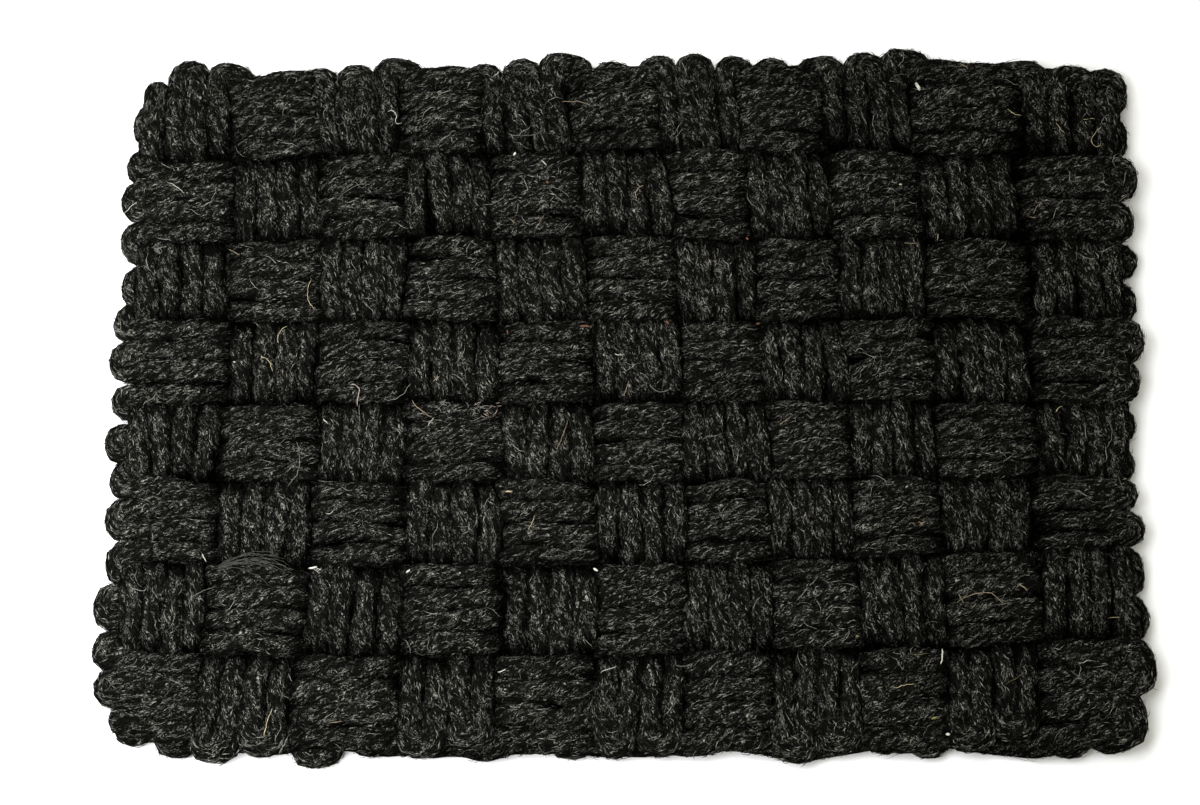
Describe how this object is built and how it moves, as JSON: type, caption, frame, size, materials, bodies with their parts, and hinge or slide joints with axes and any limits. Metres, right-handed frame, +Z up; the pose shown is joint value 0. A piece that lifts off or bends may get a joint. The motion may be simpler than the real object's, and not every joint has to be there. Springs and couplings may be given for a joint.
{
  "type": "hand-woven doormat",
  "caption": "Flat, thick doormat hand-woven in a basket weave from soft dark yarn, with looped edges all round; it lies on the floor.",
  "frame": {"origin": "under the middle of the mat's bounding box, on the floor", "axes": "+X across the width, +Y to the far edge, +Z up out of the worn side"},
  "size_m": [0.6, 0.43, 0.0215],
  "materials": {
    "dark_yarn": "matt, fuzzy, heathered charcoal yarn with grey flecks"
  },
  "bodies": {
    "root": {"woven_mat": "dark_yarn"}
  },
  "joints": []
}
